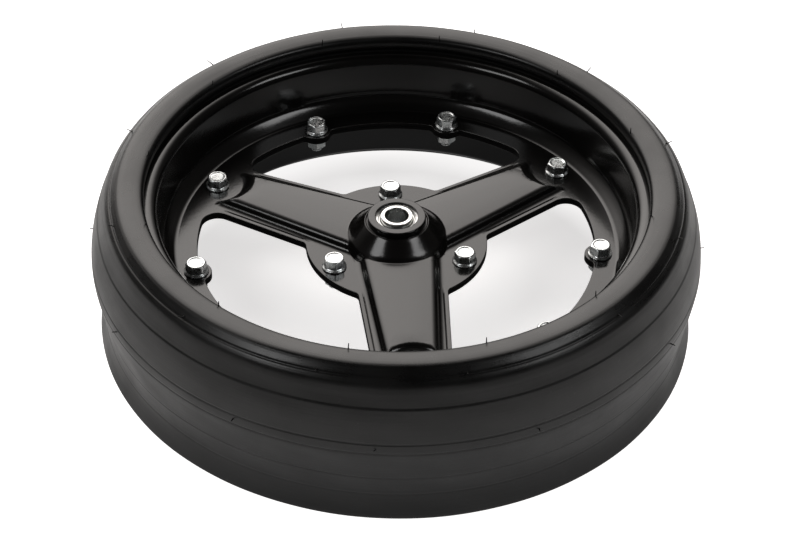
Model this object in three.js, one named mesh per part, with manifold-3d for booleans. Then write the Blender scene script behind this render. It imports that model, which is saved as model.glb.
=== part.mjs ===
// Depth gauge wheel of a row-crop planter: a hollow rubber tyre clamped between two bolted, pressed steel
// wheel halves, which run on two sealed ball bearings with a spacer sleeve between their inner rings.
//
// Frame: millimetres. The spin axis is +Z and the origin is the wheel centre, half way across the tyre. One
// spoke points along -Y, and the wheel lies flat. The two halves meet a little above the tyre's middle, and
// every height in this file is measured from that plane: the whole wheel is lifted into place at the end.

import * as THREE from 'three';
import { mergeVertices } from 'three/addons/utils/BufferGeometryUtils.js';
import Module from 'manifold-3d';

// ---- driving dimensions --------------------------------------------------------------------------------

const SPOKES = 3;
const SPOKE_STEP = (2 * Math.PI) / SPOKES;
const FIRST_SPOKE = -Math.PI / 2;
const WINDOW_OFFSET = SPOKE_STEP / 2;          // from a spoke to the middle of the next window

const MATING_PLANE = 1.75;                     // how far the halves meet above the middle of the tyre

const GAP = 0.3;                               // clearance between neighbouring solids
const SHEET = 2.5;                             // steel thickness of the pressed halves
const PLATE_LOW = GAP / 2;                     // the flat web of the upper half
const PLATE_TOP = PLATE_LOW + SHEET;

const RIM_BOLTS = 9;
const RIM_BOLT_RADIUS = 139.7;                 // 11 inch bolt circle
const HUB_BOLT_RADIUS = 51.3;
const BOLT_DIAMETER = 7.94;                    // 5/16 inch
const BOLT_HOLE_RADIUS = BOLT_DIAMETER / 2 + GAP;
const HEX_ACROSS_FLATS = 12.7;                 // 1/2 inch spanner

const BEARING_OUTER_RADIUS = 17.5;             // size 202 bearing, 35 mm outside
const BEARING_WIDTH = 11;
const BORE_RADIUS = 7.94;                      // 5/8 inch axle bolt
const BEARING_TOP = 21.5;                      // outer face of the upper bearing's outer ring
const INNER_RING_REACH = 2.9;                  // how far the inner ring stands out of the outer ring
const BALLS = 8;
const BALL_RADIUS = 2.98;
const PITCH_RADIUS = 13.05;

const COLLAR_RADIUS = 20.0;
const COLLAR_TOP = 24.0;
const COLLAR_OPENING = 14.3;
const HUB_FOOT_RADIUS = 35.5;

const RING_INNER_RADIUS = 136.5;               // window side of the bolt flange
const RIM_FILLET_START = 150.0;
const RIM_FILLET = 4.6;
const RIM_FILLET_SWEEP = THREE.MathUtils.degToRad(36);
const RIM_LIP_RADIUS = 171.3;
const RIM_LIP_TOP = 43.2;
const RIM_LIP_BEND = 7.0;                      // radius of the bend from the wall to the lip, on the inside
const BOLT_PAD_RADIUS = 10.5;

const TYRE_HALF_WIDTH = 57.25;
const TYRE_TOP = TYRE_HALF_WIDTH - MATING_PLANE;
const TYRE_BOTTOM = -TYRE_HALF_WIDTH - MATING_PLANE;
const TREAD_RADIUS = 208.4;                    // at the crown, a little above the middle

const PANEL_RISE = 6;                          // height of the hollow spoke's top panel above the web
const SPOKE_START = 20;                        // inside the hub, so that spoke and hub run together
const SPOKE_END = 130;
const SPOKE_TAPER = 0.08;
const FOOT_HALF_WIDTH = 30.2;                  // of a spoke at its foot, carried back to the wheel's centre
const SLOPE_RUN = 6.2;                         // how far a spoke's sides and end lean in over the rise
const POCKET_FOOT_RADIUS = 19.2;               // round the bolt at the spoke's end
const SEGMENTS = 48;                           // sides of every large round piece
const HUB_SEGMENTS = 32;
const RING_SEGMENTS = 24;                      // bearing pieces
const SMALL_SEGMENTS = 12;                     // fasteners and their holes

// ---- materials -----------------------------------------------------------------------------------------

const rubber = () => new THREE.MeshStandardMaterial({ color: 0x2e2e2e, roughness: 0.75, metalness: 0 });
const blackPaint = () => new THREE.MeshStandardMaterial({ color: 0x0d0d0d, roughness: 0.18, metalness: 0 });
const zincSteel = () => new THREE.MeshStandardMaterial({ color: 0xc9cdd1, roughness: 0.3, metalness: 1 });
const bearingSteel = () => new THREE.MeshStandardMaterial({ color: 0xd6d6d6, roughness: 0.18, metalness: 1 });
const shieldSteel = () => new THREE.MeshStandardMaterial({ color: 0xb9bcbf, roughness: 0.35, metalness: 1 });
const cageNylon = () => new THREE.MeshStandardMaterial({ color: 0xb8a98a, roughness: 0.55, metalness: 0 });

// ---- solids --------------------------------------------------------------------------------------------

const wasm = await Module();
wasm.setup();

// A closed three.js geometry as a solid that can be joined and cut.
function toSolid(geometry) {
  const bare = geometry.index ? geometry.clone() : geometry;
  for (const name of Object.keys(bare.attributes)) {
    if (name !== 'position') bare.deleteAttribute(name);
  }
  const merged = mergeVertices(bare, 1e-4);
  return new wasm.Manifold(new wasm.Mesh({
    numProp: 3,
    vertProperties: new Float32Array(merged.attributes.position.array),
    triVerts: new Uint32Array(merged.index.array),
  }));
}

function toGeometry(solid) {
  const mesh = solid.getMesh();
  const geometry = new THREE.BufferGeometry();
  geometry.setAttribute('position', new THREE.BufferAttribute(mesh.vertProperties, 3));
  geometry.setIndex(new THREE.BufferAttribute(mesh.triVerts, 1));
  geometry.computeVertexNormals();
  return geometry;
}

// Turns an outline of [radius, height] points round the Z axis. The outline runs counterclockwise when
// radius is drawn to the right and height upwards, and closes on itself.
function turned(outline, segments = SEGMENTS) {
  const points = [...outline, outline[0]].map(([r, z]) => new THREE.Vector2(r, z));
  return new THREE.LatheGeometry(points, segments).rotateX(Math.PI / 2);
}

// The same for a solid without a hole: the outline starts and ends on the axis.
function turnedSolid(outline, segments = SEGMENTS) {
  const points = outline.map(([r, z]) => new THREE.Vector2(r, z));
  return new THREE.LatheGeometry(points, segments).rotateX(Math.PI / 2);
}

// A flat outline pushed up from one height to another.
function plate(points, low, high) {
  const shape = new THREE.Shape(points);
  const geometry = new THREE.ExtrudeGeometry(shape, { depth: high - low, bevelEnabled: false });
  return geometry.translate(0, 0, low);
}

function disc(radius, low, high, segments) {
  return new THREE.CylinderGeometry(radius, radius, high - low, segments)
    .rotateX(Math.PI / 2)
    .translate(0, 0, (low + high) / 2);
}

function polar(radius, angle) {
  return new THREE.Vector2(radius * Math.cos(angle), radius * Math.sin(angle));
}

function arc(centre, radius, from, to, steps) {
  return Array.from({ length: steps + 1 }, (_, i) => {
    const angle = from + ((to - from) * i) / steps;
    return polar(radius, angle).add(centre);
  });
}

const parts = new THREE.Group();

function addPart(name, geometry, material, parent = parts) {
  const mesh = new THREE.Mesh(geometry, material);
  mesh.name = name;
  parent.add(mesh);
  return mesh;
}

// ---- wheel halves --------------------------------------------------------------------------------------

// The rim of the upper half: bolt flange, fillet, a sloping foot, an almost upright wall that the tyre's
// bead sits on, and a lip bent outwards over the bead. The fillet's and the bend's points are at a radius
// round their own centres, so the same functions give the window side and the tyre side.
const FILLET_STEPS = 2;

function filletPoint(radius, i) {
  const sweep = (RIM_FILLET_SWEEP * i) / FILLET_STEPS;
  return [
    RIM_FILLET_START + radius * Math.sin(sweep),
    PLATE_TOP + RIM_FILLET - radius * Math.cos(sweep),
  ];
}

const SLOPE_TOP = [159.9, 10.3];
const SLOPE_BACK_TOP = [161.6, 8.5];
const WALL_FOOT = [160.6, 12.2];
const WALL_BACK_FOOT = [163.1, 11.2];
const BEND_CENTRE = [168.9, RIM_LIP_TOP - RIM_LIP_BEND];
const BEND_STEPS = 3;

// From the lip's level top down to the upright wall.
function bendPoints(radius) {
  return Array.from({ length: BEND_STEPS + 1 }, (_, i) => {
    const angle = Math.PI / 2 + (Math.PI / 2) * (i / BEND_STEPS);
    return [BEND_CENTRE[0] + radius * Math.cos(angle), BEND_CENTRE[1] + radius * Math.sin(angle)];
  });
}

function rimOutline() {
  const outside = [];
  const inside = [];
  for (let i = 0; i <= FILLET_STEPS; i += 1) {
    outside.push(filletPoint(RIM_FILLET + SHEET, i));
    inside.unshift(filletPoint(RIM_FILLET, i));
  }
  return [
    [RING_INNER_RADIUS, PLATE_LOW],
    ...outside,
    SLOPE_BACK_TOP,
    WALL_BACK_FOOT,
    ...bendPoints(RIM_LIP_BEND - SHEET).reverse(),
    [RIM_LIP_RADIUS, RIM_LIP_TOP - SHEET],
    [RIM_LIP_RADIUS, RIM_LIP_TOP],
    ...bendPoints(RIM_LIP_BEND),
    WALL_FOOT,
    SLOPE_TOP,
    ...inside,
    [RING_INNER_RADIUS, PLATE_TOP],
  ];
}

// One window between two spokes, for the window whose middle lies along +X. The sides follow the spokes,
// the inner side is an arc round the hub, and all four corners are rounded.
function windowOutline() {
  const webRadius = 62.4;
  const sideDistance = 33.4;                   // from the wheel centre to the line of a spoke's edge
  const sideTilt = THREE.MathUtils.degToRad(3.4);
  const rimCorner = 11;
  const hubCorner = 5;
  const normalAngle = -WINDOW_OFFSET + Math.PI / 2 - sideTilt;
  const normal = polar(1, normalAngle);
  const along = polar(1, normalAngle - Math.PI / 2);
  const centreAt = (fillet, reach) => {
    const offset = sideDistance + fillet;
    return normal.clone().multiplyScalar(offset)
      .addScaledVector(along, Math.sqrt(reach * reach - offset * offset));
  };
  const rimCentre = centreAt(rimCorner, RING_INNER_RADIUS - rimCorner);
  const hubCentre = centreAt(hubCorner, webRadius + hubCorner);
  const rimAngle = rimCentre.angle() - 2 * Math.PI;
  const hubAngle = hubCentre.angle() - 2 * Math.PI;
  const lowerHalf = [
    ...arc(new THREE.Vector2(), webRadius, 0, hubAngle, 4),
    ...arc(hubCentre, hubCorner, hubAngle + Math.PI, normalAngle + Math.PI, 2).slice(1),
    ...arc(rimCentre, rimCorner, normalAngle - Math.PI, rimAngle, 4),
    ...arc(new THREE.Vector2(), RING_INNER_RADIUS, rimAngle, 0, 4).slice(1, -1),
  ];
  const upperHalf = lowerHalf.slice(1).map((p) => new THREE.Vector2(p.x, -p.y)).reverse();
  const rimMiddle = new THREE.Vector2(RING_INNER_RADIUS, 0);
  return [...lowerHalf, rimMiddle, ...upperHalf];
}

// The hollow spoke along +X: a tapering block with sloping sides. skin is how far it is shrunk inwards,
// square to a slope, and LEVEL_SKIN turns that into a distance measured level.
const LEVEL_SKIN = 1.4;

function spokeBlock(skin, low, high) {
  const section = (z) => {
    const inset = (SLOPE_RUN * (z - PLATE_TOP)) / PANEL_RISE + skin * LEVEL_SKIN;
    const end = SPOKE_END - inset;
    const half = (x) => FOOT_HALF_WIDTH - SPOKE_TAPER * x - inset;
    return [
      [SPOKE_START, -half(SPOKE_START)], [end, -half(end)],
      [end, half(end)], [SPOKE_START, half(SPOKE_START)],
    ];
  };
  const corners = [
    ...section(low).map(([x, y]) => [x, y, low]),
    ...section(high).map(([x, y]) => [x, y, high]),
  ];
  const faces = [0, 2, 1, 0, 3, 2, 4, 5, 6, 4, 6, 7];
  for (let i = 0; i < 4; i += 1) {
    const next = (i + 1) % 4;
    faces.push(i, next, next + 4, i, next + 4, i + 4);
  }
  const geometry = new THREE.BufferGeometry();
  geometry.setAttribute('position', new THREE.Float32BufferAttribute(corners.flat(), 3));
  geometry.setIndex(faces);
  return geometry;
}

const POCKET_SEGMENTS = 18;

// The conical pocket that leaves the spoke's end bolt standing on the flat web.
function boltPocket(skin, low, high) {
  const radiusAt = (z) => POCKET_FOOT_RADIUS + skin * LEVEL_SKIN + (SLOPE_RUN * (z - PLATE_TOP)) / PANEL_RISE;
  return turnedSolid([[0, low], [radiusAt(low), low], [radiusAt(high), high], [0, high]], POCKET_SEGMENTS)
    .translate(RIM_BOLT_RADIUS, 0, 0);
}

function hollowSpoke(skin, low, high) {
  return toSolid(spokeBlock(skin, low, high)).subtract(toSolid(boltPocket(skin, low - 1, high + 1)));
}

// Outside and inside of the hub: steep foot, cone and the collar that holds a bearing.
const CONE_FOOT = [33.2, PLATE_TOP + PANEL_RISE];
const CONE_TOP = [22.3, 19.5];
const HOLLOW_FOOT_RADIUS = 33;
const HOLLOW_CONE_FOOT = [31.2, 7.0];
const HOLLOW_CONE_TOP = [20.6, 17.4];
const COLLAR_FOOT = 20.3;
const BEARING_SEAT_FOOT = 18;

function hubOutside() {
  return turnedSolid([
    [0, PLATE_LOW], [HUB_FOOT_RADIUS, PLATE_LOW], [HUB_FOOT_RADIUS, PLATE_TOP],
    CONE_FOOT, CONE_TOP, [COLLAR_RADIUS, COLLAR_FOOT],
    [COLLAR_RADIUS, COLLAR_TOP], [0, COLLAR_TOP],
  ], HUB_SEGMENTS);
}

function hubInside() {
  const seat = BEARING_OUTER_RADIUS + GAP;
  const seatTop = BEARING_TOP + GAP;
  return turnedSolid([
    [0, -1], [HOLLOW_FOOT_RADIUS, -1], [HOLLOW_FOOT_RADIUS, PLATE_LOW], HOLLOW_CONE_FOOT, HOLLOW_CONE_TOP,
    [seat, BEARING_SEAT_FOOT], [seat, seatTop], [COLLAR_OPENING, seatTop],
    [COLLAR_OPENING, COLLAR_TOP + 1], [0, COLLAR_TOP + 1],
  ], HUB_SEGMENTS);
}

function boltPlaces() {
  const rim = Array.from({ length: RIM_BOLTS }, (_, i) => ({
    name: `rim_${i + 1}`,
    at: polar(RIM_BOLT_RADIUS, FIRST_SPOKE + (2 * Math.PI * i) / RIM_BOLTS),
  }));
  const hub = Array.from({ length: SPOKES }, (_, i) => ({
    name: `hub_${i + 1}`,
    at: polar(HUB_BOLT_RADIUS, FIRST_SPOKE + WINDOW_OFFSET + SPOKE_STEP * i),
  }));
  return [...rim, ...hub];
}

function wheelHalf() {
  const webEdge = RIM_FILLET_START - 1;
  let web = toSolid(disc(webEdge, PLATE_LOW, PLATE_TOP, SEGMENTS));
  const opening = plate(windowOutline(), PLATE_LOW - 1, PLATE_TOP + 1);
  for (let i = 0; i < SPOKES; i += 1) {
    const turn = FIRST_SPOKE + WINDOW_OFFSET + SPOKE_STEP * i;
    web = web.subtract(toSolid(opening.clone().rotateZ(turn)));
  }
  const pad = toSolid(disc(BOLT_PAD_RADIUS, PLATE_LOW, PLATE_TOP, SMALL_SEGMENTS));
  for (const { at } of boltPlaces()) {
    web = web.add(pad.translate([at.x, at.y, 0]));
  }

  let outside = web.add(toSolid(turned(rimOutline()))).add(toSolid(hubOutside()));
  const spokeOutside = hollowSpoke(0, PLATE_LOW + 0.5, PLATE_TOP + PANEL_RISE);
  const spokeInside = hollowSpoke(SHEET, PLATE_LOW - 1, PLATE_TOP + PANEL_RISE - SHEET);
  let hollow = toSolid(hubInside());
  for (let i = 0; i < SPOKES; i += 1) {
    const turn = THREE.MathUtils.radToDeg(FIRST_SPOKE + SPOKE_STEP * i);
    outside = outside.add(spokeOutside.rotate([0, 0, turn]));
    hollow = hollow.add(spokeInside.rotate([0, 0, turn]));
  }
  let half = outside.subtract(hollow);
  const hole = toSolid(disc(BOLT_HOLE_RADIUS, PLATE_LOW - 1, PLATE_TOP + 1, SMALL_SEGMENTS));
  for (const { at } of boltPlaces()) {
    half = half.subtract(hole.translate([at.x, at.y, 0]));
  }
  return toGeometry(half.asOriginal().simplify(0.002));
}

const halfGeometry = wheelHalf();
addPart('wheel_half_upper', halfGeometry, blackPaint());
addPart('wheel_half_lower', halfGeometry, blackPaint()).rotation.y = Math.PI;

// ---- tyre ----------------------------------------------------------------------------------------------

// A hollow tyre, open towards the rim at the split of its base. The tread has a crown near its middle and
// a sharper lip along its lower edge, with a shallow hollow between them.
function tyreOutline() {
  const split = 3;                             // half the width of the opening
  const clear = 1.5 * GAP;                     // the wall leans, so its gap is wider when measured level
  const base = WALL_BACK_FOOT[0] + clear;
  const lip = RIM_LIP_RADIUS + 2 * GAP;
  const bead = [
    [base, split], [base, WALL_BACK_FOOT[1]],
    ...bendPoints(RIM_LIP_BEND - SHEET - clear).reverse(),
    [lip, RIM_LIP_TOP - SHEET - clear], [lip, RIM_LIP_TOP + 3],
  ];
  const crest = [[170.9, 51.4], [172.3, 53.4], [182.4, TYRE_TOP], [187.6, 54.3], [192.6, 51.5]];
  const tread = [
    [198.0, 45.0], [201.6, 35.7], [205.6, 24.0], [TREAD_RADIUS, 2.7], [203.6, -26.0], [202.2, -38.0],
    [206.1, -56.5],
  ];
  const foot = [[203.5, TYRE_BOTTOM], [190.0, TYRE_BOTTOM], [180.0, -54.6], [172.6, -49.0]];
  const chamber = [
    [168.2, split], [169.4, 12.0], [171.0, 33.0], [177.5, 42.0], [187.0, 41.0], [197.5, 6.0],
    [190.0, -44.0], [177.5, -42.0], [171.0, -33.0], [169.4, -12.0], [168.2, -split],
  ];
  const lowerBead = bead.map(([r, z]) => [r, -z]).reverse();
  return [...bead, ...crest, ...tread, ...foot, ...lowerBead, ...chamber.reverse()].reverse();
}

addPart('tyre', turned(tyreOutline()), rubber());

// ---- fasteners -----------------------------------------------------------------------------------------

const FLANGE_RADIUS = 8.4;
const FLANGE_TOP_RADIUS = 6;
const FLANGE_EDGE = 1.2;
const FLANGE_HEIGHT = 3;

function hexPrism(low, high) {
  const cornerRadius = HEX_ACROSS_FLATS / Math.sqrt(3);
  return toSolid(disc(cornerRadius, low, high, 6));
}

// A flange bolt hanging from the top of the upper web, pointing down.
function flangeBolt() {
  const seat = PLATE_TOP + GAP;
  const headHeight = 8;
  const shankEnd = -14;
  const body = turnedSolid([
    [0, shankEnd], [BOLT_DIAMETER / 2, shankEnd], [BOLT_DIAMETER / 2, seat],
    [FLANGE_RADIUS, seat], [FLANGE_RADIUS, seat + FLANGE_EDGE],
    [FLANGE_TOP_RADIUS, seat + FLANGE_HEIGHT], [0, seat + FLANGE_HEIGHT],
  ], SMALL_SEGMENTS);
  return toGeometry(toSolid(body).add(hexPrism(seat + 1, seat + headHeight)));
}

// A flange nut under the lower web.
function flangeNut() {
  const seat = -PLATE_TOP - GAP;
  const nutHeight = 7.5;
  const body = turnedSolid([
    [0, seat - FLANGE_HEIGHT], [FLANGE_TOP_RADIUS, seat - FLANGE_HEIGHT],
    [FLANGE_RADIUS, seat - FLANGE_EDGE], [FLANGE_RADIUS, seat], [0, seat],
  ], SMALL_SEGMENTS);
  const hole = disc(BOLT_HOLE_RADIUS, seat - nutHeight - 1, seat + 1, SMALL_SEGMENTS);
  return toGeometry(toSolid(body).add(hexPrism(seat - nutHeight, seat - 1)).subtract(toSolid(hole)));
}

const boltGeometry = flangeBolt();
const nutGeometry = flangeNut();
for (const { name, at } of boltPlaces()) {
  const station = new THREE.Group();
  station.position.set(at.x, at.y, 0);
  addPart(`${name}_bolt`, boltGeometry, zincSteel(), station);
  addPart(`${name}_nut`, nutGeometry, zincSteel(), station);
  parts.add(station);
}

// ---- bearings ------------------------------------------------------------------------------------------

const HALF_WIDTH = BEARING_WIDTH / 2;
const INNER_SHOULDER = 10.9;
const OUTER_SHOULDER = 15.2;
const RACE_HALF_WIDTH = 2.9;
const RACE_DEPTH = 3.5;                        // from the ball centres to the bottom of a race

// Heights below are from the bearing's middle plane, with the wheel's outside upwards.
function outerRing() {
  return turned([
    [OUTER_SHOULDER, -HALF_WIDTH], [BEARING_OUTER_RADIUS, -HALF_WIDTH], [BEARING_OUTER_RADIUS, HALF_WIDTH],
    [OUTER_SHOULDER, HALF_WIDTH], [OUTER_SHOULDER, RACE_HALF_WIDTH],
    [PITCH_RADIUS + RACE_DEPTH, 0], [OUTER_SHOULDER, -RACE_HALF_WIDTH],
  ], RING_SEGMENTS);
}

function innerRing() {
  return turned([
    [BORE_RADIUS, -HALF_WIDTH], [INNER_SHOULDER, -HALF_WIDTH], [INNER_SHOULDER, -RACE_HALF_WIDTH],
    [PITCH_RADIUS - RACE_DEPTH, 0], [INNER_SHOULDER, RACE_HALF_WIDTH],
    [INNER_SHOULDER, HALF_WIDTH + INNER_RING_REACH], [BORE_RADIUS, HALF_WIDTH + INNER_RING_REACH],
  ], RING_SEGMENTS);
}

function shield(side) {
  const low = side * 5 - 0.35;
  const high = side * 5 + 0.35;
  const inside = INNER_SHOULDER + GAP;
  const outside = OUTER_SHOULDER - GAP;
  return turned([[inside, low], [outside, low], [outside, high], [inside, high]], RING_SEGMENTS);
}

const ballAngle = (i) => (2 * Math.PI * i) / BALLS;

// A crown cage: a ring beside the balls, with a round pocket across it for each.
function cage() {
  const inside = 11.4;
  const outside = 14.7;
  const low = -4.3;
  const high = -0.4;
  const pocketLength = 8;
  let ring = toSolid(turned([[inside, low], [outside, low], [outside, high], [inside, high]], RING_SEGMENTS));
  const pocketRadius = BALL_RADIUS + GAP;
  const pocket = new THREE.CylinderGeometry(pocketRadius, pocketRadius, pocketLength, SMALL_SEGMENTS)
    .rotateZ(Math.PI / 2)
    .translate(PITCH_RADIUS, 0, 0);
  for (let i = 0; i < BALLS; i += 1) {
    ring = ring.subtract(toSolid(pocket.clone().rotateZ(ballAngle(i))));
  }
  return toGeometry(ring);
}

const bearingPieces = {
  outer: outerRing(),
  inner: innerRing(),
  shieldOut: shield(1),
  shieldIn: shield(-1),
  cage: cage(),
  ball: new THREE.IcosahedronGeometry(BALL_RADIUS, 1),
};

function addBearing(name, turnedOver) {
  const bearing = new THREE.Group();
  bearing.rotation.y = turnedOver ? Math.PI : 0;
  bearing.position.z = (turnedOver ? -1 : 1) * (BEARING_TOP - HALF_WIDTH);
  addPart(`${name}_bearing_outer_ring`, bearingPieces.outer, bearingSteel(), bearing);
  addPart(`${name}_bearing_inner_ring`, bearingPieces.inner, bearingSteel(), bearing);
  addPart(`${name}_bearing_outside_shield`, bearingPieces.shieldOut, shieldSteel(), bearing);
  addPart(`${name}_bearing_inside_shield`, bearingPieces.shieldIn, shieldSteel(), bearing);
  addPart(`${name}_bearing_cage`, bearingPieces.cage, cageNylon(), bearing);
  for (let i = 0; i < BALLS; i += 1) {
    const at = polar(PITCH_RADIUS, ballAngle(i));
    const ball = addPart(`${name}_bearing_ball_${i + 1}`, bearingPieces.ball, bearingSteel(), bearing);
    ball.position.set(at.x, at.y, 0);
  }
  parts.add(bearing);
}

addBearing('upper', false);
addBearing('lower', true);

// The sleeve that keeps the two inner rings apart on the axle bolt.
const SPACER_RADIUS = 10.4;
const SPACER_HALF_LENGTH = BEARING_TOP - BEARING_WIDTH - GAP;
addPart('spacer_sleeve', turned([
  [BORE_RADIUS, -SPACER_HALF_LENGTH], [SPACER_RADIUS, -SPACER_HALF_LENGTH],
  [SPACER_RADIUS, SPACER_HALF_LENGTH], [BORE_RADIUS, SPACER_HALF_LENGTH],
], RING_SEGMENTS), zincSteel());

parts.position.z = MATING_PLANE;

export default parts;
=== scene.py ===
"""Looks of a planter's depth gauge wheel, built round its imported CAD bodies.

The tyre, the two pressed halves, the fasteners and the bearing pieces are fine meshes made here. Shapes are
worked out in millimetres, with the spin axis along +Z and a spoke along -Y, and with heights measured from
the plane where the two halves meet. They are lifted into the part's own frame and turned into metres when a
mesh is made.
"""

import math

import bmesh
import bpy
import numpy as np
from mathutils import Matrix, Vector
from mathutils.geometry import delaunay_2d_cdt

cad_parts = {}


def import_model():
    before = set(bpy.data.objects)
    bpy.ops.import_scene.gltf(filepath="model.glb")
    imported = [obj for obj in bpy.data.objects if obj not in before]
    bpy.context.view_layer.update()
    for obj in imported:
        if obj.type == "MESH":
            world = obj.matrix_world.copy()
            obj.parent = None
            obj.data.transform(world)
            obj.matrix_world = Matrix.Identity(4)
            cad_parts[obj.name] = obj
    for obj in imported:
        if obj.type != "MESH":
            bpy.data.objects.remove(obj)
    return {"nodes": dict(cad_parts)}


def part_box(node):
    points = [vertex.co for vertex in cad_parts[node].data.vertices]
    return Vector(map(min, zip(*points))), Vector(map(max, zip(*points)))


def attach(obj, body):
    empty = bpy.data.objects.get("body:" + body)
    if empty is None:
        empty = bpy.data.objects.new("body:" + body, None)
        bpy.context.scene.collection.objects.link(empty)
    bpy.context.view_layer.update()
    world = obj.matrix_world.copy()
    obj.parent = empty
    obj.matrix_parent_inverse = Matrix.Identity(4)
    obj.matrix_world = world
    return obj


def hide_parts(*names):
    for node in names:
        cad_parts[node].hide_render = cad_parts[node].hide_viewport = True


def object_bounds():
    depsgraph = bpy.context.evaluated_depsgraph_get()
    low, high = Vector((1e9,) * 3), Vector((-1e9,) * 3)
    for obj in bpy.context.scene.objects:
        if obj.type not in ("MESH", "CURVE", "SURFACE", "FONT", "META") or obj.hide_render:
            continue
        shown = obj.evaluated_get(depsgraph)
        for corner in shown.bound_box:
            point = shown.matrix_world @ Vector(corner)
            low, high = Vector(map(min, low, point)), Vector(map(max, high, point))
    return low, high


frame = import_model()
cad_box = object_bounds()

MM = 0.001
MATING_PLANE = 1.75  # height (mm) in the part's frame of the plane where the halves meet
FULL_TURN = 2 * math.pi

# ---- sizes shared by several pieces (mm) ----

SPOKES = 3
FIRST_SPOKE = math.radians(-90)
SPOKE_STEP = FULL_TURN / SPOKES
HALF_STEP = SPOKE_STEP / 2

PLATE_LOW = 0.15
PLATE_TOP = 2.65
SHEET = PLATE_TOP - PLATE_LOW
BOLT_GAP = 0.05  # between a bolt's flange and the painted sheet

RIM_BOLTS = 9
RIM_BOLT_RADIUS = 139.7
HUB_BOLT_RADIUS = 51.3
BOLT_RADIUS = 3.97
HOLE_RADIUS = 4.27
HEX_ACROSS_FLATS = 12.7

DISH_START = 22.6  # where the collar's turned surface hands over to the pressed sheet
RIM_START = 150.0  # and where the sheet hands over to the turned rim

BEARING_TOP = 21.5
BEARING_HALF_WIDTH = 5.5
PITCH_RADIUS = 13.05
BALL_RADIUS = 2.98
BALLS = 8
BORE_RADIUS = 7.94

SEGMENTS = 360  # steps round the tyre and the rim
HUB_SEGMENTS = 144  # and round the collar and the bearings
HOLE_SEGMENTS = 20  # and round a bolt hole
WELD = 0.0005  # points of a small piece that are closer than this are one


# ---- small geometry helpers ----

def polar(radius, angle):
    return np.array([radius * math.cos(angle), radius * math.sin(angle)])


def arc(centre, radius, start, end, steps):
    angles = np.linspace(start, end, steps + 1)
    return np.asarray(centre) + radius * np.stack([np.cos(angles), np.sin(angles)], axis=1)


def smoothstep(x, low, high):
    t = np.clip((x - low) / (high - low), 0, 1)
    return t * t * (3 - 2 * t)


def smooth_min(a, b, k):
    share = np.clip(0.5 + 0.5 * (b - a) / k, 0, 1)
    return b * (1 - share) + a * share - k * share * (1 - share)


def smooth_max(a, b, k):
    return -smooth_min(-a, -b, k)


def rounded(corners, cut, steps=4):
    """A closed outline with each corner cut back and bent smoothly. cut is one length or one per corner."""
    corners = np.asarray(corners, float)
    cuts = np.broadcast_to(cut, len(corners))
    points = []
    for i, corner in enumerate(corners):
        before = corners[i - 1] - corner
        after = corners[(i + 1) % len(corners)] - corner
        start = corner + before * min(0.45, cuts[i] / np.linalg.norm(before))
        end = corner + after * min(0.45, cuts[i] / np.linalg.norm(after))
        for t in np.linspace(0, 1, steps + 1):
            points.append((1 - t) ** 2 * start + 2 * t * (1 - t) * corner + t ** 2 * end)
    return np.array(points)


def flowing(points, steps=6):
    """An open Catmull-Rom curve through the points."""
    points = np.asarray(points, float)
    padded = np.vstack([2 * points[0] - points[1], points, 2 * points[-1] - points[-2]])
    curve = []
    for p0, p1, p2, p3 in zip(padded, padded[1:], padded[2:], padded[3:]):
        for t in np.arange(steps) / steps:
            curve.append(0.5 * (2 * p1 + (p2 - p0) * t + (2 * p0 - 5 * p1 + 4 * p2 - p3) * t ** 2
                                + (3 * p1 - p0 - 3 * p2 + p3) * t ** 3))
    curve.append(points[-1])
    return np.array(curve)


def resampled(curve, spacing):
    """The same open curve with points at even spacing."""
    lengths = np.linalg.norm(np.diff(curve, axis=0), axis=1)
    along = np.concatenate([[0], np.cumsum(lengths)])
    wanted = np.linspace(0, along[-1], max(2, int(round(along[-1] / spacing)) + 1))
    return np.stack([np.interp(wanted, along, curve[:, i]) for i in range(2)], axis=1)


def grid_faces(rows, columns, close_rows=False, close_columns=True):
    """Quads of a grid of rows x columns points, numbered row by row."""
    row = np.arange(rows if close_rows else rows - 1)
    column = np.arange(columns if close_columns else columns - 1)
    r, c = np.meshgrid(row, column, indexing="ij")
    r2, c2 = (r + 1) % rows, (c + 1) % columns
    quads = np.stack([r * columns + c, r * columns + c2, r2 * columns + c2, r2 * columns + c], axis=-1)
    return quads.reshape(-1, 4).tolist()


def revolved(outline, segments=SEGMENTS, closed=True):
    """An outline of (radius, height) points turned round the Z axis."""
    outline = np.asarray(outline, float)
    angles = np.arange(segments) * FULL_TURN / segments
    x = outline[:, :1] * np.cos(angles)
    y = outline[:, :1] * np.sin(angles)
    z = np.repeat(outline[:, 1:], segments, axis=1)
    points = np.stack([x, y, z], axis=-1).reshape(-1, 3)
    return points, grid_faces(len(outline), segments, close_rows=closed)


def turned_round(points, angle):
    c, s = math.cos(angle), math.sin(angle)
    return points @ np.array([[c, s, 0], [-s, c, 0], [0, 0, 1]])


def turned_over(points):
    """Half a turn about the Y axis, which takes the upper side of the wheel to the lower side."""
    return points * np.array([-1, 1, -1])


def joined(chunks):
    """Several (points, faces) as one."""
    all_points, all_faces, count = [], [], 0
    for points, faces in chunks:
        all_points.append(points)
        all_faces += [[i + count for i in face] for face in faces]
        count += len(points)
    return np.vstack(all_points), all_faces


# ---- making objects ----

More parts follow.
